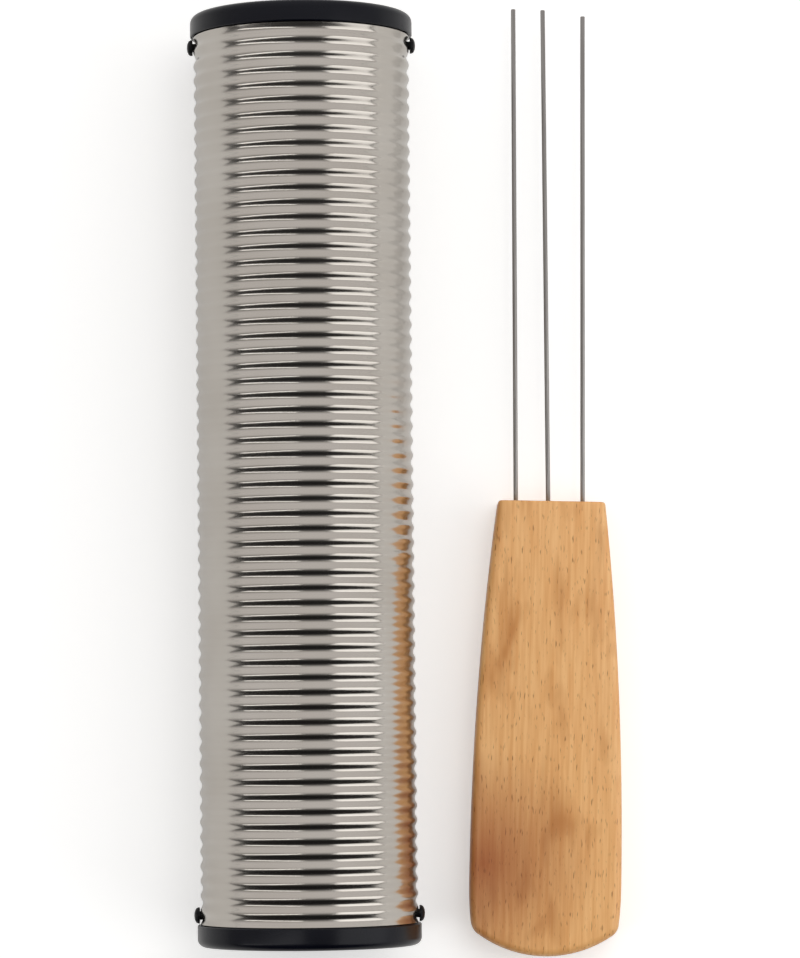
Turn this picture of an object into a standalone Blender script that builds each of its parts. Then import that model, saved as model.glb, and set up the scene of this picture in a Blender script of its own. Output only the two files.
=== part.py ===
"""Metal guiro with its three-wire scraper, laid flat: the ridged tube lies on its two cap rims
and the scraper lies beside it on the flat side of its handle. Metres, +Y along the tube, +Z up."""

import math

import bmesh
import bpy
from mathutils import Vector

MM = 0.001

# The ridged tube
GROOVES = 61
PITCH = 4.7 * MM
CREST_RADIUS = 35.0 * MM
GROOVE_DEPTH = 0.8 * MM
TUBE_WALL = 0.8 * MM
BORE_RADIUS = CREST_RADIUS - GROOVE_DEPTH - TUBE_WALL
TUBE_SIDES = 24

# The end caps
CAP_RADIUS = 36.0 * MM
CAP_RIM = 7.0 * MM
CAP_EDGE_ROUND = 2.5 * MM
CAP_END_WALL = 3.0 * MM
PLUG_LENGTH = 12.0 * MM
PLUG_WALL = 3.1 * MM
CAP_SIDES = 48

# The cap screws
SCREW_FROM_CAP = 3.0 * MM
HEAD_RADIUS = 2.6 * MM
HEAD_HEIGHT = 1.8 * MM
HEAD_RIM = 0.6 * MM
SHANK_RADIUS = 1.4 * MM
SHANK_LENGTH = 8.0 * MM
POINT_LENGTH = 1.6 * MM
SCREW_SIDES = 16

# The scraper's handle
HANDLE_LENGTH = 148.4 * MM
HANDLE_TOP_WIDTH = 35.0 * MM
HANDLE_WIDTH = 49.4 * MM
HANDLE_BUTT_WIDTH = 47.6 * MM
HANDLE_WIDEST_FROM_TOP = 126.0 * MM
HANDLE_TAPER_POWER = 2.1
HANDLE_THICKNESS = 20.0 * MM
BUTT_RISE = 8.4 * MM
HANDLE_EDGE_ROUND = 2.6 * MM
HANDLE_END_EASE = 0.35
SIDE_STEPS = 10
BUTT_STEPS = 10

# The wire tines, each bored in by hand at its own place and lean
TINE_RADIUS = 0.75 * MM
TINE_DEPTH = 30.0 * MM
TINES = {
    "left_tine": {"across": -11.6 * MM, "lean": -1.25, "reach": 163.2 * MM},
    "middle_tine": {"across": -0.95 * MM, "lean": -1.57, "reach": 163.1 * MM},
    "right_tine": {"across": 10.4 * MM, "lean": -0.91, "reach": 161.2 * MM},
}

# How the two things lie, and the clearance that touching pieces keep
FIT = 0.3 * MM
SCRAPER_ASIDE = 80.2 * MM
SCRAPER_TOP_Y = -7.4 * MM
SCRAPER_LEAN = -1.67

# How far the cutter of a tine's hole reaches past the handle's end
HOLE_OVERSHOOT = 7.0 * MM

TUBE_HALF = GROOVES * PITCH / 2


def clear_scene():
    for old in list(bpy.data.objects):
        bpy.data.objects.remove(old, do_unlink=True)


def collection(name):
    made = bpy.data.collections.new(name)
    bpy.context.scene.collection.children.link(made)
    return made


clear_scene()
guiro = collection("metal_guiro")
cutters = collection("cutters")
cutters.hide_render = True


def material(name, color, roughness, metallic):
    made = bpy.data.materials.new(name)
    made.use_nodes = True
    shader = made.node_tree.nodes["Principled BSDF"]
    shader.inputs["Base Color"].default_value = (*color, 1.0)
    shader.inputs["Roughness"].default_value = roughness
    shader.inputs["Metallic"].default_value = metallic
    return made


def empty(name, parent=None):
    made = bpy.data.objects.new(name, None)
    guiro.objects.link(made)
    made.parent = parent
    return made


def add(name, mesh, parent, look):
    made = bpy.data.objects.new(name, mesh)
    guiro.objects.link(made)
    made.parent = parent
    made.data.materials.clear()
    made.data.materials.append(look)
    return made


def turned_mesh(name, profile):
    """A profile in the XZ plane, as edges for a Screw modifier about Z."""
    mesh = bpy.data.meshes.new(name)
    mesh.from_pydata([(x, 0, z) for x, z in profile], [(i, i + 1) for i in range(len(profile) - 1)], [])
    return mesh


def turn(made, sides):
    screw = made.modifiers.new("turn", "SCREW")
    screw.axis = "Z"
    screw.steps = sides
    screw.render_steps = sides
    screw.use_merge_vertices = True
    screw.merge_threshold = 0.00001
    screw.use_smooth_shade = True


def cut(made, cutter):
    boolean = made.modifiers.new("cut " + cutter.name, "BOOLEAN")
    boolean.operation = "DIFFERENCE"
    boolean.solver = "EXACT"
    boolean.object = cutter


def cylinder_cutter(name, radius, length, parent, sides=12):
    """A cylinder along local +Z that starts at its origin."""
    shape = bmesh.new()
    bmesh.ops.create_cone(
        shape, cap_ends=True, segments=sides, radius1=radius, radius2=radius, depth=length
    )
    bmesh.ops.translate(shape, vec=(0, 0, length / 2), verts=shape.verts)
    mesh = bpy.data.meshes.new(name)
    shape.to_mesh(mesh)
    shape.free()
    made = bpy.data.objects.new(name, mesh)
    cutters.objects.link(made)
    made.parent = parent
    made.hide_render = True
    made.display_type = "WIRE"
    return made


steel = material("stainless_steel", (0.62, 0.60, 0.57), 0.18, 1.0)
black_plastic = material("black_plastic", (0.008, 0.009, 0.014), 0.25, 0.0)
black_oxide = material("black_oxide_steel", (0.015, 0.015, 0.017), 0.4, 1.0)
beech = material("lacquered_beech", (0.63, 0.36, 0.14), 0.4, 0.0)
spring_wire = material("spring_wire", (0.42, 0.41, 0.40), 0.3, 1.0)

layout = empty("layout")
tube_axis = empty("tube_axis", layout)
tube_axis.location.z = CAP_RADIUS


def tube_profile():
    """Down the ridged outside from the top end, up the plain bore, and back to the start."""
    points = []
    for step in range(2 * GROOVES + 1):
        along = TUBE_HALF - step * PITCH / 2
        along = max(min(along, TUBE_HALF - FIT), FIT - TUBE_HALF)
        points.append((CREST_RADIUS - (GROOVE_DEPTH if step % 2 else 0), along))
    end = TUBE_HALF - FIT
    return points + [(BORE_RADIUS, -end), (BORE_RADIUS, end), points[0]]


tube = add("ribbed_tube", turned_mesh("ribbed_tube", tube_profile()), tube_axis, steel)
tube.rotation_euler.x = -math.pi / 2
turn(tube, TUBE_SIDES)

plug_radius = BORE_RADIUS - FIT


def cap_profile():
    points = [(0, CAP_RIM)]
    for step in range(4):
        angle = math.radians(90 - 30 * step)
        points.append((
            CAP_RADIUS - CAP_EDGE_ROUND * (1 - math.cos(angle)),
            CAP_RIM - CAP_EDGE_ROUND * (1 - math.sin(angle)),
        ))
    hollow_radius = plug_radius - PLUG_WALL
    return points + [
        (CAP_RADIUS, 0),
        (plug_radius, 0),
        (plug_radius, -PLUG_LENGTH),
        (hollow_radius, -PLUG_LENGTH),
        (hollow_radius, CAP_RIM - CAP_END_WALL),
        (0, CAP_RIM - CAP_END_WALL),
    ]


caps = {}
for end_name, side in (("top", 1), ("bottom", -1)):
    cap = add(end_name + "_end_cap", turned_mesh(end_name + "_end_cap", cap_profile()), tube_axis, black_plastic)
    cap.location.y = side * TUBE_HALF
    cap.rotation_euler.x = -side * math.pi / 2
    turn(cap, CAP_SIDES)
    caps[end_name] = cap


def screw_profile():
    """Down the domed head, along the shank and to its point."""
    dome = HEAD_HEIGHT - HEAD_RIM
    points = []
    for step in range(4):
        angle = math.radians(90 - 30 * step)
        points.append((HEAD_RADIUS * math.cos(angle), HEAD_RIM + dome * math.sin(angle)))
    return points + [
        (HEAD_RADIUS, 0),
        (SHANK_RADIUS, 0),
        (SHANK_RADIUS, POINT_LENGTH - SHANK_LENGTH),
        (0, -SHANK_LENGTH),
    ]


screw_mesh = turned_mesh("cap_screw", screw_profile())
screw_seat = CREST_RADIUS + FIT
for end_name, along in (("top", 1), ("bottom", -1)):
    for side_name, side in (("left", -1), ("right", 1)):
        place = (0, along * (TUBE_HALF - SCREW_FROM_CAP), 0)
        screw = add(f"{end_name}_{side_name}_cap_screw", screw_mesh, tube_axis, black_oxide)
        screw.location = (side * screw_seat, place[1], 0)
        screw.rotation_euler.y = side * math.pi / 2
        turn(screw, SCREW_SIDES)
        hole = cylinder_cutter(f"{end_name}_{side_name}_hole", SHANK_RADIUS + FIT, CAP_RADIUS, tube_axis)
        hole.location = place
        hole.rotation_euler.y = side * math.pi / 2
        hole.location.x = side * (plug_radius - PLUG_WALL - FIT)
        cut(tube, hole)
        cut(caps[end_name], hole)

scraper = empty("scraper_axis", layout)
scraper.location = (SCRAPER_ASIDE, SCRAPER_TOP_Y, 0)
scraper.rotation_euler.z = math.radians(SCRAPER_LEAN)


def half_width(down):
    """Half the handle's width at this distance below its top end."""
    if down < HANDLE_WIDEST_FROM_TOP:
        left = 1 - down / HANDLE_WIDEST_FROM_TOP
        return (HANDLE_WIDTH - (HANDLE_WIDTH - HANDLE_TOP_WIDTH) * left**HANDLE_TAPER_POWER) / 2
    past = (down - HANDLE_WIDEST_FROM_TOP) / (HANDLE_LENGTH - BUTT_RISE - HANDLE_WIDEST_FROM_TOP)
    return (HANDLE_WIDTH - (HANDLE_WIDTH - HANDLE_BUTT_WIDTH) * past**2) / 2


def handle_outline():
    """Down the right side, round the butt's arc and up the left side."""
    side_length = HANDLE_LENGTH - BUTT_RISE
    downs = [side_length * i / SIDE_STEPS for i in range(SIDE_STEPS + 1)]
    right = [(half_width(down), -down) for down in downs]
    half = half_width(side_length)
    radius = (half**2 + BUTT_RISE**2) / (2 * BUTT_RISE)
    sweep = math.asin(half / radius)
    middle = -HANDLE_LENGTH + radius
    butt = []
    for i in range(1, BUTT_STEPS):
        angle = sweep * (1 - 2 * i / BUTT_STEPS)
        butt.append((radius * math.sin(angle), middle - radius * math.cos(angle)))
    left = [(-x, y) for x, y in reversed(right)]
    return right + butt + left


def handle_mesh():
    """The outline filled and extruded, welded, with a bevel weight on each edge to round."""
    outline = bpy.data.curves.new("handle_outline", "CURVE")
    outline.dimensions = "2D"
    outline.fill_mode = "BOTH"
    outline.extrude = HANDLE_THICKNESS / 2
    spline = outline.splines.new("POLY")
    points = handle_outline()
    spline.points.add(len(points) - 1)
    for point, (x, y) in zip(spline.points, points):
        point.co = (x, y, 0, 1)
    spline.use_cyclic_u = True
    flat = bpy.data.objects.new("handle_outline", outline)
    cutters.objects.link(flat)
    bpy.context.view_layer.update()
    mesh = bpy.data.meshes.new_from_object(flat.evaluated_get(bpy.context.evaluated_depsgraph_get()))
    bpy.data.objects.remove(flat)
    shape = bmesh.new()
    shape.from_mesh(mesh)
    bmesh.ops.remove_doubles(shape, verts=shape.verts, dist=0.00001)
    bmesh.ops.dissolve_limit(
        shape, angle_limit=0.001, verts=shape.verts, edges=shape.edges, delimit=set()
    )
    bmesh.ops.recalc_face_normals(shape, faces=shape.faces)
    weights = shape.edges.layers.float.new("bevel_weight_edge")
    for edge in shape.edges:
        if edge.calc_face_angle(0) < math.radians(30):
            continue
        at_top = any(vert.co.y > -FIT for vert in edge.verts)
        on_side = abs(edge.verts[0].co.y - edge.verts[1].co.y) > FIT
        upright = abs(edge.verts[0].co.z - edge.verts[1].co.z) > FIT
        eased = (at_top and not on_side) or upright
        edge[weights] = HANDLE_END_EASE if eased else 1.0
    shape.to_mesh(mesh)
    shape.free()
    return mesh


handle = add("scraper_handle", handle_mesh(), scraper, beech)
handle.location.z = HANDLE_THICKNESS / 2
bevel = handle.modifiers.new("rounded edges", "BEVEL")
bevel.limit_method = "WEIGHT"
bevel.width = HANDLE_EDGE_ROUND
bevel.segments = 3
bevel.use_clamp_overlap = False

for tine_name, tine in TINES.items():
    wire = bpy.data.curves.new(tine_name, "CURVE")
    wire.dimensions = "3D"
    wire.bevel_depth = TINE_RADIUS
    wire.bevel_resolution = 2
    wire.use_fill_caps = True
    spline = wire.splines.new("POLY")
    spline.points.add(1)
    spline.points[0].co = (0, -TINE_DEPTH, 0, 1)
    spline.points[1].co = (0, tine["reach"], 0, 1)
    made = add(tine_name, wire, scraper, spring_wire)
    made.location = (tine["across"], 0, HANDLE_THICKNESS / 2)
    made.rotation_euler.z = math.radians(-tine["lean"])
    hole = cylinder_cutter(tine_name + "_hole", TINE_RADIUS + FIT, TINE_DEPTH + FIT + HOLE_OVERSHOOT, scraper)
    hole.rotation_euler = (-math.pi / 2, 0, math.radians(-tine["lean"]))
    along = Vector((0, -TINE_DEPTH - FIT, 0))
    along.rotate(made.rotation_euler)
    hole.location = made.location + along
    cut(handle, hole)


def centre_on_floor():
    """Moves the layout so that the whole object's box is centred on the origin and stands on it."""
    bpy.context.view_layer.update()
    graph = bpy.context.evaluated_depsgraph_get()
    points = []
    for made in guiro.objects:
        if made.type == "EMPTY":
            continue
        solid = made.evaluated_get(graph)
        mesh = solid.to_mesh()
        points += [solid.matrix_world @ vert.co for vert in mesh.vertices]
        solid.to_mesh_clear()
    low = Vector([min(point[i] for point in points) for i in range(3)])
    high = Vector([max(point[i] for point in points) for i in range(3)])
    layout.location = (-(low.x + high.x) / 2, -(low.y + high.y) / 2, -low.z)
    bpy.context.view_layer.update()
    print("layout", [round(value, 6) for value in layout.location], "size", [round(v, 6) for v in high - low])


centre_on_floor()
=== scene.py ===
import math

import bmesh
import bpy
from mathutils import Matrix, Vector


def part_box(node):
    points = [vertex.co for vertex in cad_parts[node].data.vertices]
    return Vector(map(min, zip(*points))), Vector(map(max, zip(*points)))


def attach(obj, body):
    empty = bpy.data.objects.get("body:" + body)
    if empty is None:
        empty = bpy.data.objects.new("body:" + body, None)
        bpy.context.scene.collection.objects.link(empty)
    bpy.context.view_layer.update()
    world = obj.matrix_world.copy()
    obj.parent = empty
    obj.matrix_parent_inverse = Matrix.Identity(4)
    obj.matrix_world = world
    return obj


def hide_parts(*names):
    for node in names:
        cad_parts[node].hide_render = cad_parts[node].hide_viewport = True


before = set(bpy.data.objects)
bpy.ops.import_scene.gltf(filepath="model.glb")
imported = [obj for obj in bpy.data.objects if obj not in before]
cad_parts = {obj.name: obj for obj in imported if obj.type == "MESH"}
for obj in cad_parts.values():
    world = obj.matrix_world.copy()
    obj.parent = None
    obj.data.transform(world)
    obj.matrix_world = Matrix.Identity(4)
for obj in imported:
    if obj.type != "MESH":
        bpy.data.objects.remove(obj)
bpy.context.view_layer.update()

MM = 0.001

# The ridged tube. The real one is thin polished stainless steel, rolled or turned with round
# grooves all along, which the wires are dragged over. It is the body that the rest is fixed to.
tube_low, tube_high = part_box("ribbed_tube")
cap_low, cap_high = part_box("top_end_cap")
AXIS = (tube_low + tube_high) / 2
AXIS.z = (cap_low.z + cap_high.z) / 2
TUBE_HALF = (tube_high.y - tube_low.y) / 2
GROOVES = 61
PITCH = 4.7 * MM
CREST_RADIUS = 35.0 * MM
GROOVE_DEPTH = 0.8 * MM
TUBE_WALL = 0.8 * MM
BORE_RADIUS = CREST_RADIUS - GROOVE_DEPTH - TUBE_WALL
TUBE_SIDES = 96
STEPS_IN_A_GROOVE = 10
GROOVE_SHARP_ANGLE = math.radians(60)
STEEL_COLOR = "#cfcac3"
STEEL_SHADE = "#bdb6ad"
MERGE_DISTANCE = 0.002 * MM
CORNER_ANGLE = math.radians(35)


def linear(text):
    """An sRGB hex colour as linear red, green, blue and alpha."""
    parts = [int(text[i:i + 2], 16) / 255 for i in (1, 3, 5)]
    return tuple(p / 12.92 if p <= 0.04045 else ((p + 0.055) / 1.055) ** 2.4 for p in parts) + (1.0,)


def add_node(tree, kind, settings=None, links=None):
    """A node with its settings and sockets set: a number or colour is a value, a socket is a link."""
    node = tree.nodes.new(kind)
    for key, value in (settings or {}).items():
        setattr(node, key, value)
    for key, value in (links or {}).items():
        if isinstance(value, bpy.types.NodeSocket):
            tree.links.new(value, node.inputs[key])
        else:
            node.inputs[key].default_value = value
    return node


def new_material(name):
    """A new material with its tree, its shader and the coordinates that its patterns read."""
    made = bpy.data.materials.new(name)
    made.use_nodes = True
    shader = made.node_tree.nodes["Principled BSDF"]
    place = add_node(made.node_tree, "ShaderNodeTexCoord").outputs["Object"]
    return made, made.node_tree, shader, place


def mottle(tree, place, across_mm, along_mm, deep_mm=None, detail=2.0, warp=0.0):
    """Noise whose cells are this many millimetres wide in X, long in Y and deep in Z."""
    sizes = (across_mm, along_mm, deep_mm or across_mm)
    scale = [1 / (size * MM) for size in sizes]
    moved = add_node(tree, "ShaderNodeMapping", links={"Vector": place, "Scale": scale}).outputs[0]
    return add_node(
        tree, "ShaderNodeTexNoise",
        links={"Vector": moved, "Scale": 1.0, "Detail": detail, "Distortion": warp},
    ).outputs[0]


def mixed(tree, factor, first, second, low=0.0, high=1.0, blend="MIX"):
    """Two colours, mixed by how far the factor has come from low to high."""
    part = add_node(tree, "ShaderNodeMapRange", links={"Value": factor, "From Min": low, "From Max": high})
    return add_node(
        tree, "ShaderNodeMix", {"data_type": "RGBA", "blend_type": blend},
        {0: part.outputs[0], 6: first, 7: second},
    ).outputs[2]


def paint(tree, shader, color, gloss, smooth, rough):
    """Links the colour to the shader, and a roughness that the noise spreads from smooth to rough."""
    tree.links.new(color, shader.inputs["Base Color"])
    spread = add_node(tree, "ShaderNodeMapRange", links={"Value": gloss, "To Min": smooth, "To Max": rough})
    tree.links.new(spread.outputs[0], shader.inputs["Roughness"])


def emboss(tree, shader, relief, strength, height_mm):
    """Lets the noise raise the surface by this height, as a bump of this strength."""
    links = {"Height": relief, "Strength": strength, "Distance": height_mm * MM}
    tree.links.new(add_node(tree, "ShaderNodeBump", links=links).outputs[0], shader.inputs["Normal"])


def finished(shape, name, material, corner_angle=CORNER_ANGLE):
    """The bmesh as an object at the origin, its doubles merged and its faces turned outwards."""
    bmesh.ops.remove_doubles(shape, verts=shape.verts, dist=MERGE_DISTANCE)
    bmesh.ops.recalc_face_normals(shape, faces=shape.faces)
    mesh = bpy.data.meshes.new(name)
    shape.to_mesh(mesh)
    shape.free()
    mesh.shade_smooth()
    mesh.set_sharp_from_angle(angle=corner_angle)
    mesh.materials.append(material)
    made = bpy.data.objects.new(name, mesh)
    bpy.context.scene.collection.objects.link(made)
    return made


def turned(profile, closed):
    """A profile of (radius, along) points, spun round the Y axis."""
    shape = bmesh.new()
    points = [shape.verts.new((radius, along, 0)) for radius, along in profile]
    edges = [shape.edges.new(pair) for pair in zip(points, points[1:])]
    if closed:
        edges.append(shape.edges.new((points[-1], points[0])))
    bmesh.ops.spin(
        shape, geom=points + edges, cent=(0, 0, 0), axis=(0, 1, 0), dvec=(0, 0, 0),
        angle=math.tau, steps=TUBE_SIDES, use_merge=True, use_duplicate=False,
    )
    return shape


def tube_profile():
    """Down the grooved outside as a cosine wave, and back up the plain bore."""
    steps = GROOVES * STEPS_IN_A_GROOVE
    points = []
    for step in range(steps + 1):
        depth = GROOVE_DEPTH * (1 - math.cos(math.tau * step / STEPS_IN_A_GROOVE)) / 2
        along = GROOVES * PITCH * (0.5 - step / steps)
        points.append((CREST_RADIUS - depth, max(min(along, TUBE_HALF), -TUBE_HALF)))
    return points + [(BORE_RADIUS, -TUBE_HALF), (BORE_RADIUS, TUBE_HALF)]


# Stainless steel, turned and buffed: neutral and mirror-like, with marks round the tube that
# soften what it reflects, and a faint difference of tone from place to place. The marks are drawn
# half a millimetre apart, coarser than the real ones, so that they show.
steel, tree, shader, place = new_material("buffed_stainless_steel")
marks = mottle(tree, place, across_mm=16.7, along_mm=0.4545, detail=3.0)
tone = mottle(tree, place, across_mm=28.6, along_mm=28.6)
color = mixed(tree, tone, linear(STEEL_COLOR), linear(STEEL_SHADE))
paint(tree, shader, color, marks, smooth=0.10, rough=0.24)
emboss(tree, shader, marks, strength=0.10, height_mm=0.05)
shader.inputs["Metallic"].default_value = 1.0

shape = turned(tube_profile(), closed=True)
bmesh.ops.translate(shape, vec=AXIS, verts=shape.verts)
tube = finished(shape, "ridged_tube", steel, GROOVE_SHARP_ANGLE)
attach(tube, "guiro")
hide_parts("ribbed_tube")

# The end caps. Each is a black plastic moulding, a flange with a rounded edge that closes the
# tube's end and a hollow plug that fits its bore, and is held by two screws through the steel.
CAP_RADIUS = 36.0 * MM
CAP_RIM = 7.0 * MM
CAP_EDGE_ROUND = 2.5 * MM
CAP_INNER_EASE = 0.3 * MM
CAP_END_WALL = 3.0 * MM
CAP_FACE_RING = 21.6 * MM
PLUG_FIT = 0.3 * MM
PLUG_LENGTH = 12.0 * MM
PLUG_WALL = 3.1 * MM
ROUND_STEPS = 8
PLASTIC_COLOR = "#06070f"
PLASTIC_SHEEN_COLOR = "#0b0d18"


def cap_profile():
    """From the middle of the outer face, round the flange, along the plug and back up its hollow."""
    plug = BORE_RADIUS - PLUG_FIT
    points = [(0, CAP_RIM), (CAP_FACE_RING, CAP_RIM)]
    for step in range(ROUND_STEPS + 1):
        angle = math.pi / 2 * (1 - step / ROUND_STEPS)
        points.append((
            CAP_RADIUS - CAP_EDGE_ROUND * (1 - math.cos(angle)),
            CAP_RIM - CAP_EDGE_ROUND * (1 - math.sin(angle)),
        ))
    return points + [
        (CAP_RADIUS, CAP_INNER_EASE),
        (CAP_RADIUS - CAP_INNER_EASE, 0),
        (plug, 0),
        (plug, -PLUG_LENGTH),
        (plug - PLUG_WALL, -PLUG_LENGTH),
        (plug - PLUG_WALL, CAP_RIM - CAP_END_WALL),
        (0, CAP_RIM - CAP_END_WALL),
    ]


# ABS, injection moulded in black: a deep navy black with a soft sheen, a moulded grain that is
# drawn a millimetre across so that it shows, and duller patches where it has been handled.
plastic, tree, shader, place = new_material("moulded_black_plastic")
grain = mottle(tree, place, across_mm=1.111, along_mm=1.111)
handled = mottle(tree, place, across_mm=16.67, along_mm=16.67)
color = mixed(tree, handled, linear(PLASTIC_COLOR), linear(PLASTIC_SHEEN_COLOR))
paint(tree, shader, color, handled, smooth=0.18, rough=0.34)
emboss(tree, shader, grain, strength=0.15, height_mm=0.08)
shader.inputs["IOR"].default_value = 1.53
shader.inputs["Specular IOR Level"].default_value = 0.2

for end, side in (("top", 1), ("bottom", -1)):
    shape = turned(cap_profile(), closed=False)
    if side < 0:
        half_turn = Matrix.Rotation(math.pi, 3, "Z")
        bmesh.ops.rotate(shape, cent=(0, 0, 0), matrix=half_turn, verts=shape.verts)
    tube_end = AXIS + Vector((0, side * GROOVES * PITCH / 2, 0))
    bmesh.ops.translate(shape, vec=tube_end, verts=shape.verts)
    cap = finished(shape, f"{end}_moulded_cap", plastic)
    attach(cap, "guiro")
    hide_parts(f"{end}_end_cap")

# The cap screws. Four small screws with domed heads in blackened steel, two to a cap and opposite
# each other, driven through the tube near its end into the cap's plug.
SCREW_COLOR = "#17171a"
SCREW_WORN = "#3a3936"

# Steel, blackened by oxidising: dull black, rubbed to a warm dark grey in spots of about a
# millimetre and a half where a driver or a hand has touched it.
black_steel, tree, shader, place = new_material("blackened_screw_steel")
wear = mottle(tree, place, across_mm=1.4286, along_mm=1.4286, detail=3.0)
color = mixed(tree, wear, linear(SCREW_COLOR), linear(SCREW_WORN), low=0.5, high=0.75)
paint(tree, shader, color, wear, smooth=0.28, rough=0.5)
shader.inputs["Metallic"].default_value = 0.8

for end in ("top", "bottom"):
    for side in ("left", "right"):
        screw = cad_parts[f"{end}_{side}_cap_screw"]
        screw.data.materials.clear()
        screw.data.materials.append(black_steel)

# The scraper's handle. The real one is sawn from a flat beech board, tapered towards the wires,
# its butt cut to a wide arc, its long edges rounded over, then sanded and lacquered.
handle_low, handle_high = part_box("scraper_handle")
SCRAPER_LEAN = math.radians(-1.67)
SCRAPER_TOP = AXIS + Vector((80.2 * MM, -7.4 * MM, 0))
SCRAPER_TOP.z = (handle_low.z + handle_high.z) / 2
HANDLE_LENGTH = 148.4 * MM
HANDLE_TOP_WIDTH = 35.0 * MM
HANDLE_WIDTH = 49.4 * MM
HANDLE_BUTT_WIDTH = 47.6 * MM
HANDLE_WIDEST_FROM_TOP = 126.0 * MM
HANDLE_TAPER_POWER = 2.1
HANDLE_THICKNESS = handle_high.z - handle_low.z
BUTT_RISE = 8.4 * MM
LONG_EDGE_ROUND = 2.6 * MM
LONG_EDGE_SEGMENTS = 6
TOP_EDGE_EASE = 0.9 * MM
TOP_EDGE_SEGMENTS = 3
LEAST_EDGE_ANGLE = math.radians(25)
TOP_REACH = 0.01 * MM
OUTLINE_STEPS = 28
WOOD_LIGHT = "#f9c280"
WOOD_MAIN = "#ecab66"
WOOD_AMBER = "#c9823b"
WOOD_FLECK = "#b4763b"
WOOD_STAIN = "#b78c6a"
STAIN_FROM_TOP = Vector((-24 * MM, -118 * MM, 10 * MM))
STAIN_REACH = 38 * MM


def half_width(down):
    """Half the handle's width at this distance below its top end."""
    if down < HANDLE_WIDEST_FROM_TOP:
        left = 1 - down / HANDLE_WIDEST_FROM_TOP
        return (HANDLE_WIDTH - (HANDLE_WIDTH - HANDLE_TOP_WIDTH) * left**HANDLE_TAPER_POWER) / 2
    past = (down - HANDLE_WIDEST_FROM_TOP) / (HANDLE_LENGTH - BUTT_RISE - HANDLE_WIDEST_FROM_TOP)
    return (HANDLE_WIDTH - (HANDLE_WIDTH - HANDLE_BUTT_WIDTH) * past**2) / 2


def handle_outline():
    """Down the right side, round the butt's arc and up the left side."""
    side_length = HANDLE_LENGTH - BUTT_RISE
    downs = [side_length * step / OUTLINE_STEPS for step in range(OUTLINE_STEPS + 1)]
    right = [(half_width(down), -down) for down in downs]
    half = half_width(side_length)
    radius = (half**2 + BUTT_RISE**2) / (2 * BUTT_RISE)
    sweep = math.asin(half / radius)
    butt = []
    for step in range(1, OUTLINE_STEPS):
        angle = sweep * (1 - 2 * step / OUTLINE_STEPS)
        butt.append((radius * math.sin(angle), radius - HANDLE_LENGTH - radius * math.cos(angle)))
    return right + butt + [(-x, y) for x, y in reversed(right)]


def lay_with_scraper(shape):
    """Turns and moves a shape from the scraper's own axis to where the scraper lies."""
    lean = Matrix.Rotation(SCRAPER_LEAN, 3, "Z")
    bmesh.ops.rotate(shape, cent=(0, 0, 0), matrix=lean, verts=shape.verts)
    bmesh.ops.translate(shape, vec=SCRAPER_TOP, verts=shape.verts)


def rounded(shape, edges, offset, segments, clamped):
    """Rounds these edges over."""
    bmesh.ops.bevel(
        shape, geom=edges, offset=offset, offset_type="OFFSET", affect="EDGES",
        segments=segments, profile=0.5, material=-1, clamp_overlap=clamped,
    )


# Beech, sanded and sealed with a satin lacquer: warm tan with streaks a millimetre wide, short
# dark ray flecks a few millimetres long, broad amber patches and a browner corner at the butt.
beech, tree, shader, place = new_material("lacquered_beech")
along_grain = add_node(
    tree, "ShaderNodeMapping",
    links={"Vector": place, "Location": (-SCRAPER_TOP.x, 0, 0), "Rotation": (0, 0, -SCRAPER_LEAN)},
).outputs[0]
streaks = mottle(tree, along_grain, across_mm=1.1, along_mm=26, deep_mm=2.2, detail=3.0)
flecks = mottle(tree, along_grain, across_mm=0.5, along_mm=3.4, deep_mm=1.0, detail=1.0)
patches = mottle(tree, along_grain, across_mm=9, along_mm=30, deep_mm=18, warp=0.4)
stain = add_node(
    tree, "ShaderNodeVectorMath", {"operation": "DISTANCE"}, {0: place, 1: SCRAPER_TOP + STAIN_FROM_TOP}
).outputs["Value"]
color = mixed(tree, streaks, linear(WOOD_LIGHT), linear(WOOD_MAIN), low=0.35, high=0.68)
color = mixed(tree, patches, color, linear(WOOD_AMBER), low=0.52, high=0.80)
color = mixed(tree, flecks, color, linear(WOOD_FLECK), low=0.63, high=0.76)
color = mixed(tree, stain, color, linear(WOOD_STAIN), low=STAIN_REACH, high=0, blend="MULTIPLY")
paint(tree, shader, color, streaks, smooth=0.34, rough=0.48)
emboss(tree, shader, flecks, strength=0.12, height_mm=0.1)
shader.inputs["IOR"].default_value = 1.5
shader.inputs["Coat Weight"].default_value = 0.25
shader.inputs["Coat Roughness"].default_value = 0.3

shape = bmesh.new()
rim = [shape.verts.new((x, y, -HANDLE_THICKNESS / 2)) for x, y in handle_outline()]
raised = bmesh.ops.extrude_face_region(shape, geom=[shape.faces.new(rim)])
upper = [item for item in raised["geom"] if isinstance(item, bmesh.types.BMVert)]
bmesh.ops.translate(shape, vec=(0, 0, HANDLE_THICKNESS), verts=upper)
bmesh.ops.recalc_face_normals(shape, faces=shape.faces)
long_edges = [
    edge for edge in shape.edges
    if edge.calc_face_angle(0) > LEAST_EDGE_ANGLE and any(vert.co.y < -MM for vert in edge.verts)
]
rounded(shape, long_edges, LONG_EDGE_ROUND, LONG_EDGE_SEGMENTS, clamped=False)
top_edges = [
    edge for edge in shape.edges
    if edge.calc_face_angle(0) > LEAST_EDGE_ANGLE and all(vert.co.y > -TOP_REACH for vert in edge.verts)
]
rounded(shape, top_edges, TOP_EDGE_EASE, TOP_EDGE_SEGMENTS, clamped=True)
lay_with_scraper(shape)
handle = finished(shape, "beech_handle", beech)
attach(handle, "scraper")
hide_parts("scraper_handle")

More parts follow.
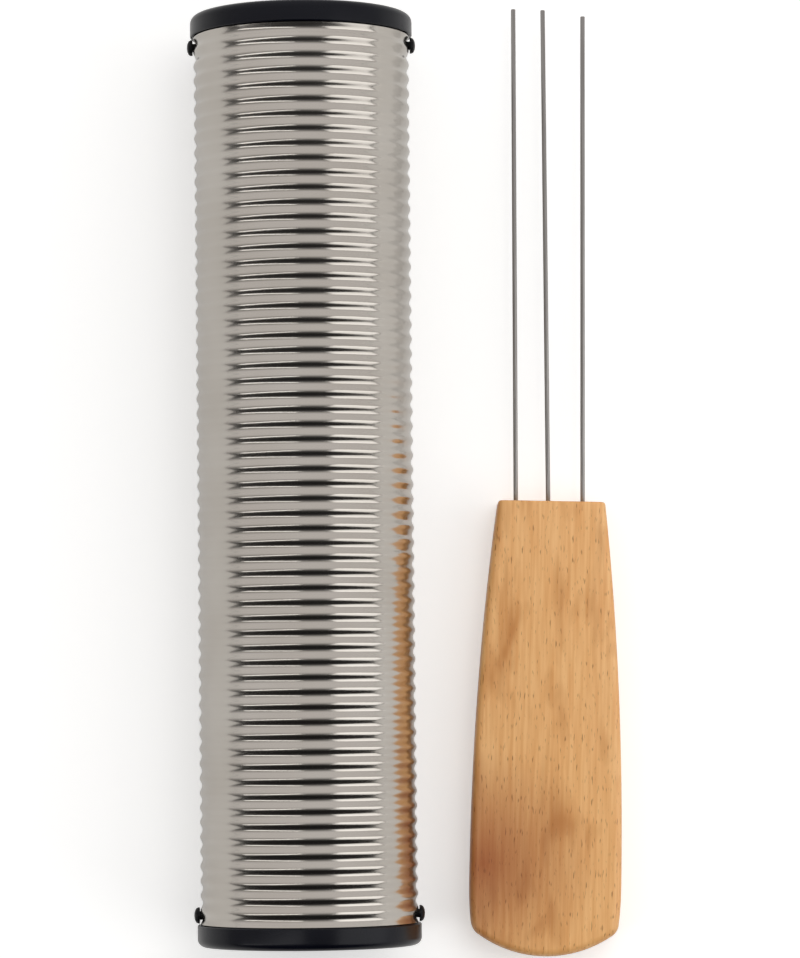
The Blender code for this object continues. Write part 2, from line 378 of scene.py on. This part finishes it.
# The tines. Three lengths of drawn spring-steel wire, cut square and eased at the tips, pushed
# into holes bored by hand in the handle's end, so that each leans a little its own way.
WIRE_RADIUS = 0.75 * MM
WIRE_DEPTH = 30.0 * MM
WIRE_TIP_EASE = 0.2 * MM
WIRE_TIP_SEGMENTS = 2
WIRE_SIDES = 24
WIRE_COLOR = "#b6b3b0"
WIRE_DARK = "#7d7976"
WIRES = {
    "left": {"across": -11.6 * MM, "lean": -1.25, "reach": 163.2 * MM},
    "middle": {"across": -0.95 * MM, "lean": -1.57, "reach": 163.1 * MM},
    "right": {"across": 10.4 * MM, "lean": -0.91, "reach": 161.2 * MM},
}

# Spring steel, cold drawn: mid grey and half bright, with die lines that run along the wire, drawn
# 0.4 mm apart so that they show.
wire_steel, tree, shader, place = new_material("drawn_spring_steel")
die_lines = mottle(tree, place, across_mm=0.4, along_mm=25)
color = mixed(tree, die_lines, linear(WIRE_DARK), linear(WIRE_COLOR))
paint(tree, shader, color, die_lines, smooth=0.25, rough=0.42)
shader.inputs["Metallic"].default_value = 1.0

for name, wire in WIRES.items():
    length = wire["reach"] + WIRE_DEPTH
    shape = bmesh.new()
    bmesh.ops.create_cone(
        shape, cap_ends=True, segments=WIRE_SIDES, radius1=WIRE_RADIUS, radius2=WIRE_RADIUS, depth=length
    )
    tips = [edge for edge in shape.edges if abs(edge.verts[0].co.z - edge.verts[1].co.z) < MM]
    rounded(shape, tips, WIRE_TIP_EASE, WIRE_TIP_SEGMENTS, clamped=False)
    laid_down = Matrix.Rotation(-math.pi / 2, 3, "X")
    bmesh.ops.rotate(shape, cent=(0, 0, 0), matrix=laid_down, verts=shape.verts)
    bmesh.ops.translate(shape, vec=(0, length / 2 - WIRE_DEPTH, 0), verts=shape.verts)
    leaned = Matrix.Rotation(math.radians(-wire["lean"]), 3, "Z")
    bmesh.ops.rotate(shape, cent=(0, 0, 0), matrix=leaned, verts=shape.verts)
    bmesh.ops.translate(shape, vec=(wire["across"], 0, 0), verts=shape.verts)
    lay_with_scraper(shape)
    piece = finished(shape, f"{name}_wire", wire_steel)
    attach(piece, "scraper")
    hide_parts(f"{name}_tine")

# The surface that both things lie on: a plain matt white sheet of paper. It is lifted to white for
# the camera, a little in the metal too, and keeps the soft shadow of what lies on it.
FLOOR_SIZE = 6.0
FLOOR_COLOR = "#f4f4f3"
FLOOR_LIFT = 0.40
FLOOR_LIFT_IN_METAL = 0.06
paper, tree, shader, _ = new_material("white_paper_sweep")
path = add_node(tree, "ShaderNodeLightPath")
mirrored = add_node(
    tree, "ShaderNodeMath", {"operation": "MAXIMUM"},
    {0: path.outputs["Is Glossy Ray"], 1: path.outputs["Is Transmission Ray"]},
).outputs[0]
faint = add_node(tree, "ShaderNodeMath", {"operation": "MULTIPLY"}, {0: mirrored, 1: FLOOR_LIFT_IN_METAL})
lift = add_node(
    tree, "ShaderNodeMath", {"operation": "MULTIPLY_ADD"},
    {0: path.outputs["Is Camera Ray"], 1: FLOOR_LIFT, 2: faint.outputs[0]},
)
tree.links.new(lift.outputs[0], shader.inputs["Emission Strength"])
shader.inputs["Emission Color"].default_value = linear("#ffffff")
shader.inputs["Base Color"].default_value = linear(FLOOR_COLOR)
shader.inputs["Roughness"].default_value = 0.9

shape = bmesh.new()
bmesh.ops.create_grid(shape, x_segments=2, y_segments=2, size=FLOOR_SIZE / 2)
finished(shape, "floor", paper)

# The studio: a grey room that grows dark towards the near side, a long softbox to the left and a
# wider one to the right, which the ridges show as bright lines, and a plain key light above.
ROOM_GREY = 0.74
ROOM_DARK = 0.012
ROOM_DARK_TO = -0.78
ROOM_GREY_FROM = 0.62
ROOM_TINT = "#fffdfc"
room = bpy.data.worlds.new("studio")
bpy.context.scene.world = room
room.use_nodes = True
tree = room.node_tree
direction = add_node(tree, "ShaderNodeTexCoord").outputs["Generated"]
parts = add_node(tree, "ShaderNodeSeparateXYZ", links={0: direction})
brightness = add_node(
    tree, "ShaderNodeMapRange", {"interpolation_type": "SMOOTHSTEP"},
    {
        "Value": parts.outputs["Y"], "From Min": ROOM_DARK_TO, "From Max": ROOM_GREY_FROM,
        "To Min": ROOM_DARK, "To Max": ROOM_GREY,
    },
)
tree.links.new(brightness.outputs[0], tree.nodes["Background"].inputs["Strength"])
tree.nodes["Background"].inputs["Color"].default_value = linear(ROOM_TINT)


def softbox(name, where, aim, width, length, radiance, shown=True):
    """A rectangular lamp that faces its aim and shines as brightly as a surface of this radiance."""
    lamp = bpy.data.lights.new(name, "AREA")
    lamp.shape = "RECTANGLE"
    lamp.size = width
    lamp.size_y = length
    lamp.energy = radiance * math.pi * width * length
    made = bpy.data.objects.new(name, lamp)
    made.location = where
    made.rotation_euler = (Vector(aim) - Vector(where)).to_track_quat("-Z", "Y").to_euler()
    made.visible_glossy = shown
    bpy.context.scene.collection.objects.link(made)


softbox("left_softbox", where=(-1.06, -0.55, 1.30), aim=(0, -0.3, 0), width=0.32, length=2.2, radiance=1.8)
softbox("right_softbox", where=(1.70, -0.45, 1.10), aim=(0, -0.2, 0), width=1.65, length=2.2, radiance=1.15)
softbox("key", where=(0.5, 0.6, 2.2), aim=(0, 0, 0), width=1.2, length=1.2, radiance=2.4, shown=False)

# The camera looks straight down at the table from above the lower half of the tube, tipped and
# rolled by a few degrees, through a long lens.
LENS = 162.1
SENSOR_WIDTH = 36.0
CAMERA_FROM_TUBE = Vector((30.6 * MM, -76.4 * MM, 1392 * MM))
CAMERA_TIP = math.radians(3.117)
CAMERA_ROLL = math.radians(-0.642)
ahead = Vector((0, math.sin(CAMERA_TIP), -math.cos(CAMERA_TIP)))
level = Vector((1, 0, 0))
upward = level.cross(ahead)
rolled_right = level * math.cos(CAMERA_ROLL) + upward * math.sin(CAMERA_ROLL)
rolled_up = upward * math.cos(CAMERA_ROLL) - level * math.sin(CAMERA_ROLL)
facing = Matrix((rolled_right, rolled_up, -ahead)).transposed().to_4x4()
camera = bpy.data.objects.new("camera", bpy.data.cameras.new("camera"))
camera.data.lens = LENS
camera.data.sensor_width = SENSOR_WIDTH
camera.matrix_world = Matrix.Translation(AXIS + CAMERA_FROM_TUBE) @ facing
bpy.context.scene.collection.objects.link(camera)
bpy.context.scene.camera = camera
bpy.context.scene.view_settings.view_transform = "Standard"
